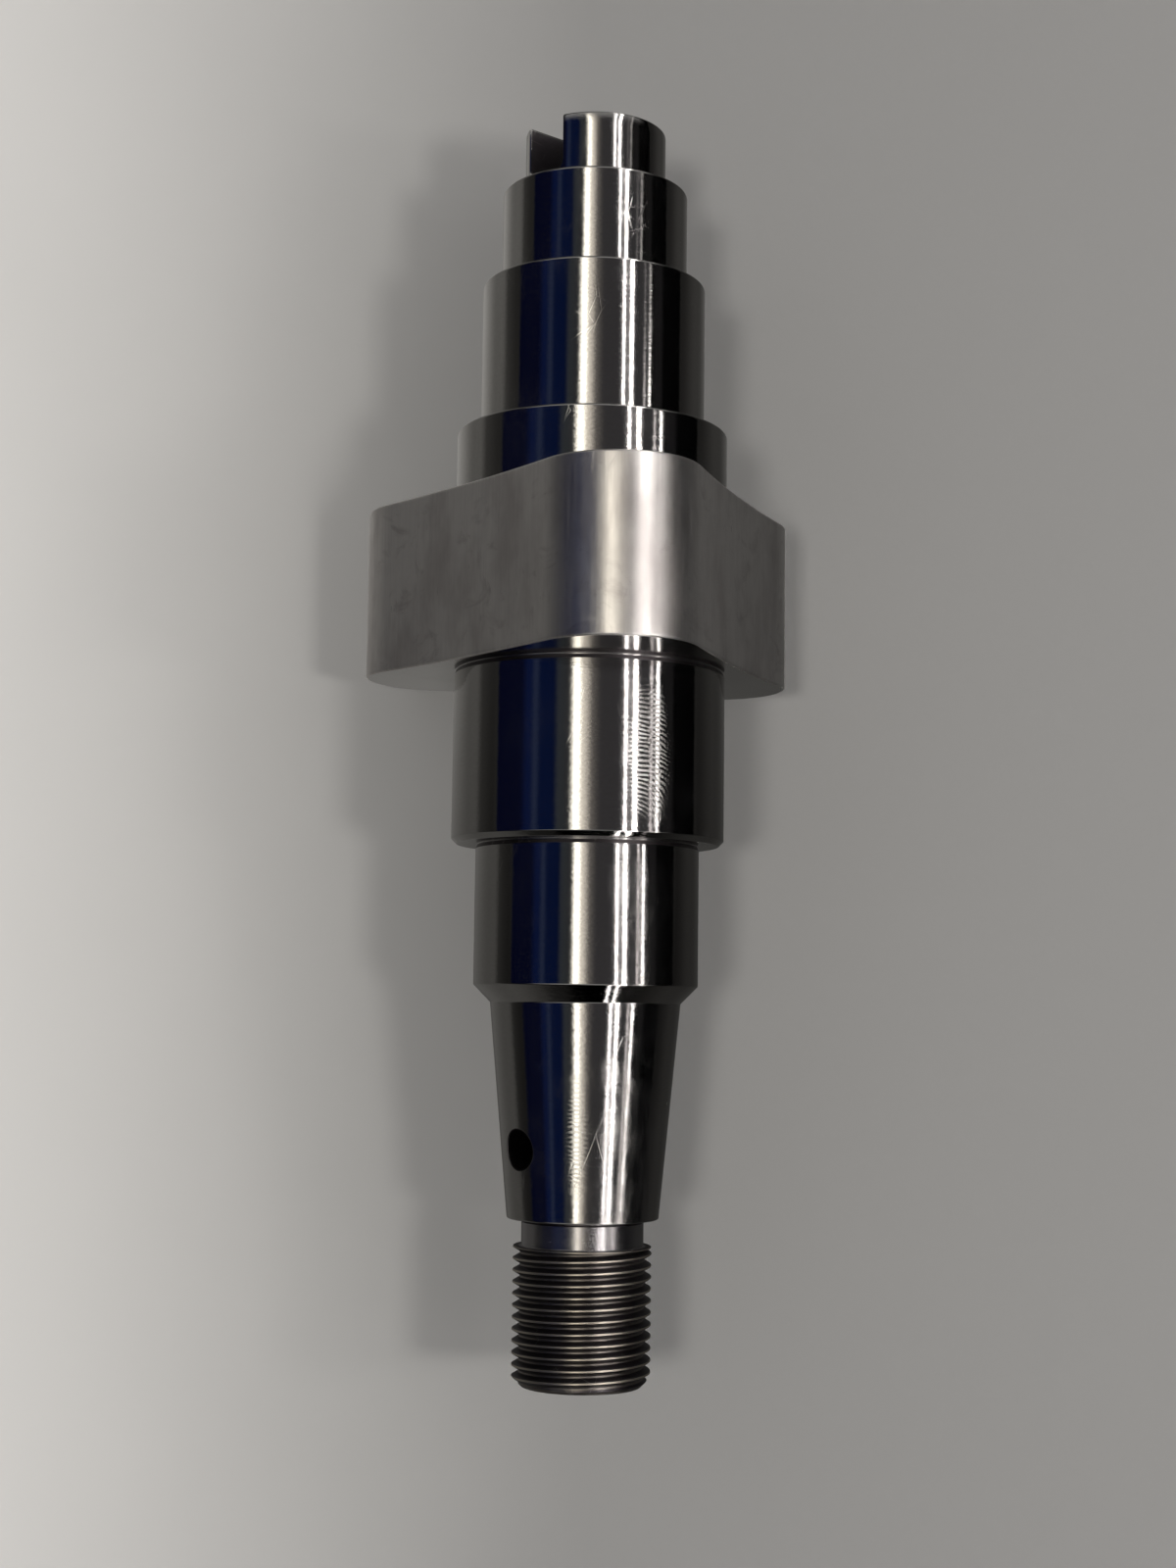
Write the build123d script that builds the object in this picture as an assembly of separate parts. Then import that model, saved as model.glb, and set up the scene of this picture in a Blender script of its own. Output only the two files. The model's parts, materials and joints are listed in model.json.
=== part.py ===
"""Stepped shaft with a three-lobed cam, turned, milled and ground from one bar.

Millimetres. +Y runs along the axis, from the threaded end to the slotted end, and +Z is up.
The origin is on the axis, in the middle of the main journal.
One cam lobe points straight up, so the shaft lies on the flank opposite to it.
"""
import os
from math import cos, radians, sin, sqrt

from build123d import *

# Threaded end, a plain cylinder at the thread's outside diameter
THREAD_D = 18.0
THREAD_LEN = 17.8
THREAD_CHAMFER = 1.2

# Groove where the thread tool runs out
RUNOUT_D = 15.9
RUNOUT_LEN = 3.5

# Taper that a hub is drawn onto, and the cone that ends the front journal
TAPER_SMALL_D = 19.75
TAPER_BIG_D = 25.0
TAPER_LEN = 27.8
CONE_LEN = 2.3

# Pin hole in the taper
PIN_HOLE_D = 5.2
PIN_HOLE_DEPTH = 6.5
PIN_HOLE_FROM_BIG_END = 18.75
PIN_HOLE_TURN = -60.0
DRILL_POINT_ANGLE = 118.0

# Bearing journals
FRONT_JOURNAL_D = 29.5
FRONT_JOURNAL_LEN = 18.4
MAIN_JOURNAL_D = 36.0
MAIN_JOURNAL_LEN = 23.0
REAR_JOURNAL_D = 30.0
REAR_JOURNAL_LEN = 20.3

# Cam: three equal lobes, joined by slightly hollow flanks
CAM_LOBES = 3
CAM_LEN = 22.7
CAM_LOBE_R = 31.85
CAM_NOSE_R = 10.7
CAM_HOLLOW_R = 250.0

COLLAR_D = 36.2
COLLAR_LEN = 9.3

# Rear step and the drive end with its slot
STEP_D = 25.0
STEP_LEN = 13.0
DRIVE_D = 19.0
DRIVE_LEN = 8.6
SLOT_W = 6.6
SLOT_DEPTH = 8.0
SLOT_FILLET = 2.0
SLOT_TURN = -58.0

# Centre hole for turning and grinding, in the threaded end
CENTRE_MOUTH_D = 5.0
CENTRE_PILOT_D = 2.5
CENTRE_PILOT_LEN = 3.0
CENTRE_ANGLE = 60.0

# Edges, and the grinding reliefs in the corners beside the journals
EDGE = 0.4
JOURNAL_CHAMFER = 0.7
RELIEF_W = 0.6
RELIEF_DEPTH = 0.2

# How far a cutter runs past the surface that it opens
CUT_CLEARANCE = 1.0

# Stations along the axis, outwards from the middle of the main journal
CAM_START = MAIN_JOURNAL_LEN / 2
CAM_END = CAM_START + CAM_LEN
COLLAR_END = CAM_END + COLLAR_LEN
REAR_JOURNAL_END = COLLAR_END + REAR_JOURNAL_LEN
STEP_END = REAR_JOURNAL_END + STEP_LEN
DRIVE_END = STEP_END + DRIVE_LEN
MAIN_JOURNAL_START = -MAIN_JOURNAL_LEN / 2
FRONT_JOURNAL_START = MAIN_JOURNAL_START - FRONT_JOURNAL_LEN
CONE_START = FRONT_JOURNAL_START - CONE_LEN
TAPER_START = CONE_START - TAPER_LEN
RUNOUT_START = TAPER_START - RUNOUT_LEN
THREAD_START = RUNOUT_START - THREAD_LEN


def turned(start, length, start_d, end_d=None, start_edge=0.0, end_edge=0.0):
    """One round section from start towards +Y, with its two edges broken at 45 degrees."""
    start_r = start_d / 2
    end_r = (start_d if end_d is None else end_d) / 2
    end = start + length
    outline = [(0, start), (start_r - start_edge, start)]
    if start_edge:
        outline.append((start_r, start + start_edge))
    if end_edge:
        outline.append((end_r, end - end_edge))
    outline += [(end_r - end_edge, end), (0, end)]
    return revolve(make_face(Polyline(outline, close=True)), Axis.Y)


def turned_body():
    """Every round section, from the thread's tip to the drive end."""
    return (
        turned(THREAD_START, THREAD_LEN, THREAD_D, start_edge=THREAD_CHAMFER)
        + turned(RUNOUT_START, RUNOUT_LEN, RUNOUT_D)
        + turned(TAPER_START, TAPER_LEN, TAPER_SMALL_D, TAPER_BIG_D)
        + turned(CONE_START, CONE_LEN, TAPER_BIG_D, FRONT_JOURNAL_D)
        + turned(FRONT_JOURNAL_START, FRONT_JOURNAL_LEN, FRONT_JOURNAL_D)
        + turned(MAIN_JOURNAL_START, MAIN_JOURNAL_LEN, MAIN_JOURNAL_D, start_edge=JOURNAL_CHAMFER)
        + turned(CAM_END, COLLAR_LEN, COLLAR_D, end_edge=EDGE)
        + turned(COLLAR_END, REAR_JOURNAL_LEN, REAR_JOURNAL_D, end_edge=EDGE)
        + turned(REAR_JOURNAL_END, STEP_LEN, STEP_D, end_edge=EDGE)
        + turned(STEP_END, DRIVE_LEN, DRIVE_D, end_edge=EDGE)
    )


def cam_outline():
    """Section of the cam: round noses, with each hollow flank tangent to two of them."""
    half_pitch = radians(180 / CAM_LOBES)
    nose_centre_r = CAM_LOBE_R - CAM_NOSE_R
    across = nose_centre_r * sin(half_pitch)
    along = nose_centre_r * cos(half_pitch)
    hollow_centre = along + sqrt((CAM_HOLLOW_R + CAM_NOSE_R) ** 2 - across**2)
    to_tangent = CAM_NOSE_R / (CAM_HOLLOW_R + CAM_NOSE_R)
    tangent = Vector(across * (1 - to_tangent), along + (hollow_centre - along) * to_tangent)
    flank = ThreePointArc(
        (-tangent.X, tangent.Y), (0, hollow_centre - CAM_HOLLOW_R), (tangent.X, tangent.Y)
    )
    turn = 360 / CAM_LOBES
    nose = ThreePointArc(
        tangent,
        Vector(0, CAM_LOBE_R).rotate(Axis.Z, -turn / 2),
        Vector(-tangent.X, tangent.Y).rotate(Axis.Z, -turn),
    )
    curves = []
    for lobe in range(CAM_LOBES):
        curves += [Rot(0, 0, lobe * turn) * flank, Rot(0, 0, lobe * turn) * nose]
    return Rot(0, 0, turn / 2) * make_face(curves)


def cam():
    block = extrude(Plane.XZ.offset(-CAM_START) * cam_outline(), -CAM_LEN)
    return chamfer(block.edges().filter_by(Plane.XZ), EDGE)


def relief(shoulder, side, journal_d):
    """Ring that cuts the corner between a shoulder and the journal on its given side."""
    r = journal_d / 2
    foot = shoulder + side * RELIEF_W
    ramp_end = foot - side * 2 * RELIEF_DEPTH
    outline = [
        (r, foot), (r - RELIEF_DEPTH, ramp_end), (r - RELIEF_DEPTH, shoulder), (r, shoulder),
    ]
    return revolve(make_face(Polyline(outline, close=True)), Axis.Y)


def drive_slot():
    """Slot straight across the drive end, with rounded corners at its floor."""
    blank = Box(SLOT_W, SLOT_DEPTH, DRIVE_D + 2 * CUT_CLEARANCE)
    floor_edges = blank.edges().filter_by(Axis.Z).group_by(Axis.Y)[0]
    blank = fillet(floor_edges, SLOT_FILLET)
    return Rot(0, SLOT_TURN, 0) * Pos(0, DRIVE_END - SLOT_DEPTH / 2, 0) * blank


def pin_hole():
    """Blind drilled hole in the taper, square to the axis."""
    y = CONE_START - PIN_HOLE_FROM_BIG_END
    share = PIN_HOLE_FROM_BIG_END / TAPER_LEN
    surface_r = (TAPER_BIG_D + (TAPER_SMALL_D - TAPER_BIG_D) * share) / 2
    floor_r = surface_r - PIN_HOLE_DEPTH
    top_r = surface_r + CUT_CLEARANCE
    drill_r = PIN_HOLE_D / 2
    point = drill_r / sin(radians(DRILL_POINT_ANGLE / 2)) * cos(radians(DRILL_POINT_ANGLE / 2))
    outline = [(0, floor_r - point), (drill_r, floor_r), (drill_r, top_r), (0, top_r)]
    drill = revolve(make_face(Plane.XZ * Polyline(outline, close=True)), Axis.Z)
    return Pos(0, y, 0) * Rot(0, PIN_HOLE_TURN, 0) * drill


def centre_hole():
    """Centre hole in the threaded end: a cone at the face, then a short pilot."""
    mouth_r = CENTRE_MOUTH_D / 2
    pilot_r = CENTRE_PILOT_D / 2
    half = radians(CENTRE_ANGLE / 2)
    cone_len = (mouth_r - pilot_r) * cos(half) / sin(half)
    cone_end = THREAD_START + cone_len
    floor = cone_end + CENTRE_PILOT_LEN
    outline = [
        (0, THREAD_START), (mouth_r, THREAD_START), (pilot_r, cone_end), (pilot_r, floor), (0, floor),
    ]
    return revolve(make_face(Polyline(outline, close=True)), Axis.Y)


def shaft():
    body = turned_body() + cam()
    body -= relief(MAIN_JOURNAL_START, -1, FRONT_JOURNAL_D)
    body -= relief(CAM_START, -1, MAIN_JOURNAL_D)
    body -= relief(COLLAR_END, 1, REAR_JOURNAL_D)
    body -= drive_slot()
    body -= pin_hole()
    body -= centre_hole()
    return body


os.makedirs("parts", exist_ok=True)
export_step(shaft(), "parts/stepped_shaft.step")
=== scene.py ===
"""Looks of the stepped shaft: one finely finished steel piece lying on a pale bench.

Metres, in the frame of the CAD part: +Y runs along the axis to the slotted end, +Z is up.
Sizes below are in millimetres, and MM turns them into metres. Turns round the axis are
degrees from +Z towards +X.
"""
import json
import math

import bmesh
import bpy
import numpy as np
from mathutils import Matrix, Vector


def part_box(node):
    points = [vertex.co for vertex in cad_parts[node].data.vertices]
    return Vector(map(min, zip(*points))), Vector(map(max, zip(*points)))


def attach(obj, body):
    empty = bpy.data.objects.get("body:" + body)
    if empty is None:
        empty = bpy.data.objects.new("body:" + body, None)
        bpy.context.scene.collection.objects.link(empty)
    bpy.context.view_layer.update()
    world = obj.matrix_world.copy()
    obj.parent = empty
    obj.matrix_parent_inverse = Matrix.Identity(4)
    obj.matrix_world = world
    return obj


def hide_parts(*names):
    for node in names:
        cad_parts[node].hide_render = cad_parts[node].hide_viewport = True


MM = 0.001
NODE = "stepped_shaft"

# Named sizes of the part, the same as in its CAD source
THREAD_LEN = 17.8
THREAD_CHAMFER = 1.2
RUNOUT_R = 7.95
RUNOUT_LEN = 3.5
TAPER_SMALL_R = 9.875
TAPER_BIG_R = 12.5
TAPER_LEN = 27.8
CONE_LEN = 2.3
FRONT_JOURNAL_LEN = 18.4
MAIN_JOURNAL_LEN = 23.0
REAR_JOURNAL_LEN = 20.3
STEP_LEN = 13.0
DRIVE_LEN = 8.6
COLLAR_R = 18.1
COLLAR_LEN = 9.3
CAM_LOBES = 3
CAM_NOSE_R = 10.7
CAM_HOLLOW_R = 250.0
DRIVE_R = 9.5
SLOT_W = 6.6
SLOT_DEPTH = 8.0
SLOT_FILLET = 2.0
SLOT_TURN = -58.0
PIN_HOLE_TURN = -60.0
PIN_HOLE_DEPTH = 6.5
DRILL_POINT_ANGLE = 118.0
CENTRE_MOUTH_R = 2.5
CENTRE_PILOT_R = 1.25
CENTRE_PILOT_LEN = 3.0
CENTRE_CONE_LEN = 2.165
RELIEF_W = 0.6
RELIEF_DEPTH = 0.2
JOURNAL_CHAMFER = 0.7

# External thread, with the thin burr that the groove's cutter left at its end
PITCH = 1.5
THREAD_DEPTH = 0.92
THREAD_TURN = -13.3
BURR_W = 0.18
BURR_DEPTH = 0.04
LAST_TURN_DROP = 1.5 * BURR_DEPTH
LAST_TURN_SLOPE = 1.2

# Fine corner cut at the foot of the taper's end face
CORNER_W = 0.45
CORNER_DEPTH = 0.25
CORNER_RAMP = 0.1

# Fine roundings: outer edges, a shoulder's foot or chamfer, the cone's start, and the groove
EDGE_ROUNDING = 0.3
FOOT_ROUNDING = 0.15
CONE_ROUNDING = 0.25
GROOVE_ROUNDING = 0.2
CORNER_ROUNDING = 0.05

# Fineness of the mesh, the row that supports each rounding, and how near two rows are one
COLUMNS = 264
EDGE_STEPS = 4
SUPPORT = 0.1
SAME_PLACE = 0.001

# ---------------------------------------------------------------- frame
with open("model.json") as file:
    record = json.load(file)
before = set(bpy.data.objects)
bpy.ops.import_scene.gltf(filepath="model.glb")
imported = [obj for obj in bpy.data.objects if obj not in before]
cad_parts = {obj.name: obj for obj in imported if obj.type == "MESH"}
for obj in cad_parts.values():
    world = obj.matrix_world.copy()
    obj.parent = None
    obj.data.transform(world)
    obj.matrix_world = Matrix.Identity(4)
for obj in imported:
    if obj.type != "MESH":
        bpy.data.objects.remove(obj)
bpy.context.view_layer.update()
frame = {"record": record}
record = frame["record"]
mounts = {mount["name"]: mount for mount in record["mounts"]}
low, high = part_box(NODE)


def mount_r(name):
    return mounts[name]["dims"]["r_mm"]


THREAD_R = mount_r("thread_end")
FRONT_JOURNAL_R = mount_r("front_journal")
MAIN_JOURNAL_R = mount_r("main_journal")
REAR_JOURNAL_R = mount_r("rear_journal")
STEP_R = mount_r("seal_seat")
PIN_HOLE_R = mount_r("pin_hole")
PIN_HOLE_Y = mounts["pin_hole"]["pos_m"][1] / MM
CAM_LOBE_R = high.z / MM

# Stations along the axis
THREAD_START = low.y / MM
THREAD_END = THREAD_START + THREAD_LEN
THREAD_TOP = THREAD_END - BURR_W
TAPER_START = THREAD_END + RUNOUT_LEN
CONE_START = TAPER_START + TAPER_LEN
FRONT_START = CONE_START + CONE_LEN
MAIN_START = FRONT_START + FRONT_JOURNAL_LEN
CAM_START = MAIN_START + MAIN_JOURNAL_LEN
DRIVE_END = high.y / MM
STEP_END = DRIVE_END - DRIVE_LEN
REAR_END = STEP_END - STEP_LEN
COLLAR_END = REAR_END - REAR_JOURNAL_LEN
CAM_END = COLLAR_END - COLLAR_LEN
SLOT_FLOOR = DRIVE_END - SLOT_DEPTH

# The dark finishes are painted shade: one in recesses such as the slot, the reliefs, the corner cut
# and the pin hole's mouth, one inside the holes
FINISHES = (
    "ground journal", "ground taper", "turned shoulder", "turned groove", "brushed cam",
    "cut thread", "shade-painted recess", "shade-painted hole",
)
FINISH_INDEX = {name: index for index, name in enumerate(FINISHES)}


# ---------------------------------------------------------------- shape helpers
def placed_object(name, data):
    """An object with the given mesh, lamp or lens, placed in the scene."""
    made = bpy.data.objects.new(name, data)
    bpy.context.scene.collection.objects.link(made)
    return made


def on_axis(turn, r, y):
    """Point at a turn in degrees and a radius, all in millimetres."""
    a = math.radians(turn)
    return Vector((r * math.sin(a), y, r * math.cos(a))) * MM


# The turn of each column. The first runs through the middle of the pin hole.
TURNS = [PIN_HOLE_TURN + 360 * i / COLUMNS for i in range(COLUMNS)]


def add_ring(bm, y, r):
    """One closed ring of vertices, with one for each column."""
    return [bm.verts.new(on_axis(turn, r, y)) for turn in TURNS]


def add_face(bm, corners, finish):
    """A face that skips corners which coincide."""
    kept = [c for i, c in enumerate(corners) if c is not corners[i - 1]]
    if len(kept) > 2:
        face = bm.faces.new(kept)
        face.material_index = FINISH_INDEX[finish]
        face.smooth = True


def join_rings(bm, ring_a, ring_b, finish, skip=()):
    """Quads between two rings of the same length, apart from the skipped columns."""
    count = len(ring_a)
    for i in range(count):
        if i not in skip:
            j = (i + 1) % count
            add_face(bm, (ring_a[i], ring_a[j], ring_b[j], ring_b[i]), finish)


def cap(bm, ring, y, finish):
    """Closes a ring with a fan to a point on the axis."""
    centre = bm.verts.new(on_axis(0, 0, y))
    count = len(ring)
    for i in range(count):
        add_face(bm, (ring[i], ring[(i + 1) % count], centre), finish)


def rounded_path(corners):
    """Turns (y, r, rounding, finish of the run that follows) corners into a fine path.

    Each rounded corner becomes a short arc with a support row on both of its sides. Where
    two corners are so close that their support rows meet, they share one.
    """
    path = []
    last = len(corners) - 1
    for i, (y, r, rounding, finish) in enumerate(corners):
        if not rounding or i in (0, last):
            path.append((y, r, finish))
            continue
        here = Vector((y, r))
        run_in = Vector(corners[i - 1][:2]) - here
        run_out = Vector(corners[i + 1][:2]) - here
        before, after = run_in.normalized(), run_out.normalized()
        half = before.angle(after) / 2
        setback = rounding / math.tan(half)
        centre = here + (before + after).normalized() * rounding / math.sin(half)
        start = here + before * setback - centre
        sweep = start.angle_signed(here + after * setback - centre)
        arc = [centre + Matrix.Rotation(-sweep * s / EDGE_STEPS, 2) @ start
               for s in range(EDGE_STEPS + 1)]
        support_in = here + before * min(setback + SUPPORT, run_in.length / 2)
        support_out = here + after * min(setback + SUPPORT, run_out.length / 2)
        if (Vector(path[-1][:2]) - support_in).length > SAME_PLACE:
            path.append((*support_in, corners[i - 1][3]))
        path += [(*p, finish) for p in arc]
        path.append((*support_out, finish))
    return path


def lathe(bm, path, first):
    """Rings along a path, joined on from the first ring. Returns the last ring."""
    ring = first
    for k, (y, r, _) in enumerate(path):
        new = add_ring(bm, y, r)
        join_rings(bm, ring, new, path[max(k - 1, 0)][2])
        ring = new
    return ring


def lathe_corners(bm, corners, first):
    """Continues from the first ring along rounded corners, the first of which it stands for."""
    return lathe(bm, rounded_path(corners)[1:], first)


# ---------------------------------------------------------------- thread
END_SNAP = 0.03
THREAD_FORM = (
    # place within the pitch from the crest, depth below the crest
    (-0.70, THREAD_DEPTH - 0.005), (-0.61, THREAD_DEPTH - 0.05), (-0.36, 0.445), (-0.115, 0.03),
    (-0.07, 0.0), (0.07, 0.0), (0.115, 0.03), (0.36, 0.445), (0.61, THREAD_DEPTH - 0.05),
    (0.70, THREAD_DEPTH - 0.005), (0.75, THREAD_DEPTH),
)


def helix_y(turn):
    """Where one crest of the right-hand thread passes a turn."""
    return THREAD_START + PITCH * (turn - THREAD_TURN) / 360


def thread_r(y, turn):
    """Radius of the thread at a place, from its form and the chamfer at its tip."""
    place = (y - helix_y(turn) + PITCH / 2) % PITCH - PITCH / 2
    places, depths = [list(values) for values in zip(*THREAD_FORM)]
    depth = float(np.interp(place, [places[-1] - PITCH] + places, [depths[-1]] + depths))
    chamfer_r = THREAD_R - THREAD_CHAMFER + (y - THREAD_START)
    runout_r = THREAD_R - LAST_TURN_DROP + LAST_TURN_SLOPE * (THREAD_TOP - y)
    return min(THREAD_R - depth, chamfer_r, runout_r)


def thread(bm, first):
    """The helical thread between its tip ring and the groove. Returns its last ring.

    The rows follow the helix. Those past an end of the thread gather on that end, where each
    column keeps one vertex for them.
    """
    def placed(y):
        if y < THREAD_START + END_SNAP:
            return THREAD_START
        return THREAD_TOP if y > THREAD_TOP - END_SNAP else y

    rows = []
    turns_needed = int(THREAD_LEN / PITCH) + 3
    for k in range(-turns_needed, turns_needed):
        rows += [k * PITCH + place for place, _ in THREAD_FORM]
    grid = []
    for turn, tip in zip(TURNS, first):
        made = {round(THREAD_START, 3): tip}
        column = []
        for row in rows:
            y = placed(helix_y(turn) + row)
            key = round(y, 3)
            if key not in made:
                made[key] = bm.verts.new(on_axis(turn, thread_r(y, turn), y))
            column.append(made[key])
        grid.append(column)
    # After a whole turn, the first column stands one pitch of rows higher
    grid.append(grid[0][len(THREAD_FORM):])
    for here, beside in zip(grid, grid[1:]):
        for j in range(len(beside) - 1):
            add_face(bm, (here[j], beside[j], beside[j + 1], here[j + 1]), "cut thread")
    return [column[-1] for column in grid[:-1]]


# ---------------------------------------------------------------- taper with its pin hole
PATCH_COLUMNS = 32
PATCH_ROWS = 32
PATCH_HALF = 3.8
MOUTH_ROUNDING = 0.12
# Loops of the mesh: from the patch's border to the hole's mouth, down its wall, and to its point
PATCH_SHARES = (0.3, 0.55, 0.75, 0.9, 0.97, 1.0)
WALL_SHARES = (0.08, 0.5, 0.97, 1.0)
POINT_SHARES = (0.5, 0.9)


def taper_r(y):
    share = (y - TAPER_START) / TAPER_LEN
    return TAPER_SMALL_R + (TAPER_BIG_R - TAPER_SMALL_R) * share


def taper_with_hole(bm, first, last_y):
    """Taper from the first ring to last_y, with a patch of columns left open for the pin hole."""
    rows = [PIN_HOLE_Y - PATCH_HALF + 2 * PATCH_HALF * k / PATCH_ROWS
            for k in range(PATCH_ROWS + 1)]
    open_columns = [(i - PATCH_COLUMNS // 2) % COLUMNS for i in range(PATCH_COLUMNS)]
    ring = first
    rings = []
    for y in rows:
        new = add_ring(bm, y, taper_r(y))
        join_rings(bm, ring, new, "ground taper", open_columns if rings else ())
        rings.append(new)
        ring = new
    border_columns = open_columns + [PATCH_COLUMNS // 2]
    border = [rings[0][c] for c in border_columns]
    border += [new[border_columns[-1]] for new in rings[1:]]
    border += [rings[-1][c] for c in reversed(border_columns[:-1])]
    border += [new[border_columns[0]] for new in reversed(rings[1:-1])]
    pin_hole(bm, border)
    end = add_ring(bm, last_y, taper_r(last_y))
    join_rings(bm, ring, end, "ground taper")
    return end


def out_and_side(turn):
    """Direction outwards at a turn, and the direction round the axis there."""
    a = math.radians(turn)
    return Vector((math.sin(a), 0, math.cos(a))), Vector((math.cos(a), 0, -math.sin(a)))


def hole_point(across, along, height):
    """Point by its place across the pin hole, along the shaft, and its height above the axis."""
    out, side = out_and_side(PIN_HOLE_TURN)
    return (out * height + side * across + Vector((0, PIN_HOLE_Y + along, 0))) * MM


def taper_height(across, along):
    return math.sqrt(taper_r(PIN_HOLE_Y + along) ** 2 - across ** 2)


def pin_hole(bm, border):
    """Fills the open patch of the taper with loops that end in a blind drilled hole."""
    _, side = out_and_side(PIN_HOLE_TURN)
    flat = [((v.co / MM).dot(side), v.co.y / MM - PIN_HOLE_Y) for v in border]
    angles = [math.atan2(along, across) for across, along in flat]
    mouth = PIN_HOLE_R + MOUTH_ROUNDING
    loops = []
    for share in PATCH_SHARES:
        loop = []
        for (across, along), angle in zip(flat, angles):
            to_x = across + (mouth * math.cos(angle) - across) * share
            to_y = along + (mouth * math.sin(angle) - along) * share
            loop.append((to_x, to_y, taper_height(to_x, to_y)))
        loops.append((loop, "ground taper"))
    for step in range(1, EDGE_STEPS + 1):
        bend = math.radians(90 * step / EDGE_STEPS)
        r = mouth - MOUTH_ROUNDING * math.sin(bend)
        drop = MOUTH_ROUNDING * (1 - math.cos(bend))
        loop = [(r * math.cos(t), r * math.sin(t),
                 taper_height(r * math.cos(t), r * math.sin(t)) - drop) for t in angles]
        # The hole's rounded mouth is dark, painted shade
        loops.append((loop, "shade-painted recess"))
    floor_height = taper_r(PIN_HOLE_Y) - PIN_HOLE_DEPTH
    point_depth = PIN_HOLE_R / math.tan(math.radians(DRILL_POINT_ANGLE / 2))
    # The hole's wall, floor and point are black, painted shade
    for share in WALL_SHARES:
        loop = []
        for t in angles:
            x, y = PIN_HOLE_R * math.cos(t), PIN_HOLE_R * math.sin(t)
            top = taper_height(x, y) - MOUTH_ROUNDING
            loop.append((x, y, top + (floor_height - top) * share))
        loops.append((loop, "shade-painted hole"))
    for share in POINT_SHARES:
        r = PIN_HOLE_R * (1 - share)
        height = floor_height - point_depth * share
        loop = [(r * math.cos(t), r * math.sin(t), height) for t in angles]
        loops.append((loop, "shade-painted hole"))
    ring = border
    for loop, finish in loops:
        new = [bm.verts.new(hole_point(*place)) for place in loop]
        join_rings(bm, ring, new, finish)
        ring = new
    centre = bm.verts.new(hole_point(0, 0, floor_height - point_depth))
    for i, corner in enumerate(ring):
        add_face(bm, (corner, ring[(i + 1) % len(ring)], centre), "shade-painted hole")


# ---------------------------------------------------------------- cam
def cam_outline():
    """Points of the cam's section on each column, and the outward directions there."""
    def ray_at(a):
        return Vector((math.sin(a), math.cos(a)))

    nose_centre_r = CAM_LOBE_R - CAM_NOSE_R
    half_pitch = math.pi / CAM_LOBES
    across = nose_centre_r * math.sin(half_pitch)
    along = nose_centre_r * math.cos(half_pitch)
    hollow_centre_r = along + math.sqrt((CAM_HOLLOW_R + CAM_NOSE_R) ** 2 - across ** 2)
    hollow_share = CAM_NOSE_R / (CAM_HOLLOW_R + CAM_NOSE_R)
    tangent_across = across * (1 - hollow_share)
    tangent_along = along + (hollow_centre_r - along) * hollow_share
    tangent_turn = half_pitch - math.atan2(tangent_across, tangent_along)
    points = []
    for turn in TURNS:
        nearest = round(turn / (360 / CAM_LOBES)) * 360 / CAM_LOBES
        off_nose = math.radians(turn - nearest)
        ray = ray_at(math.radians(turn))
        if abs(off_nose) <= tangent_turn:
            r = (nose_centre_r * math.cos(off_nose)
                 + math.sqrt(CAM_NOSE_R ** 2 - (nose_centre_r * math.sin(off_nose)) ** 2))
            centre = ray_at(math.radians(nearest)) * nose_centre_r
            outward = (ray * r - centre).normalized()
        else:
            off_flank = half_pitch - abs(off_nose)
            r = (hollow_centre_r * math.cos(off_flank)
                 - math.sqrt(CAM_HOLLOW_R ** 2 - (hollow_centre_r * math.sin(off_flank)) ** 2))
            flank = math.radians(nearest) + math.copysign(half_pitch, off_nose)
            centre = ray_at(flank) * hollow_centre_r
            outward = (centre - ray * r).normalized()
        points.append((ray * r, outward))
    return points


def cam_ring(bm, outline, y, inset):
    ring = []
    for point, outward in outline:
        place = point - outward * inset
        ring.append(bm.verts.new(Vector((place.x, y, place.y)) * MM))
    return ring


CAM_ROUNDING = 0.35
CAM_ROWS = 4


def cam(bm, first, last_r):
    """The cam between the ring at its near face and a ring of last_r at its far face."""
    outline = cam_outline()
    arc = []
    for s in range(EDGE_STEPS + 1):
        a = math.radians(90 * s / EDGE_STEPS)
        arc.append((CAM_ROUNDING * (1 - math.cos(a)), CAM_ROUNDING * (1 - math.sin(a))))
    near_row = CAM_START + CAM_ROUNDING + SUPPORT
    width = CAM_END - CAM_ROUNDING - SUPPORT - near_row
    # Each row: place along the axis, inset from the outline, finish of what follows
    places = [(CAM_START, CAM_ROUNDING + SUPPORT, "turned shoulder")]
    places += [(CAM_START + step, inset, "brushed cam") for step, inset in arc]
    places += [(near_row + width * k / CAM_ROWS, 0, "brushed cam") for k in range(CAM_ROWS + 1)]
    places += [(CAM_END - step, inset, "brushed cam") for step, inset in reversed(arc)]
    places.append((CAM_END, CAM_ROUNDING + SUPPORT, "turned shoulder"))
    ring = first
    finish = "turned shoulder"
    for y, inset, next_finish in places:
        new = cam_ring(bm, outline, y, inset)
        join_rings(bm, ring, new, finish)
        ring, finish = new, next_finish
    last = add_ring(bm, CAM_END, last_r)
    join_rings(bm, ring, last, "turned shoulder")
    return last


# ---------------------------------------------------------------- slotted drive end
PRONG_STEPS = 28
FLOOR_STEPS = 6
FILLET_STEPS = 6
WALL_STEPS = 4
DRIVE_ROUNDING_STEPS = 3
# Edges that bend more than this, in degrees, are sharp, above a narrow band at the end's foot
SHARP_BEND = 35.0
FOOT_BAND = 0.02


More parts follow.
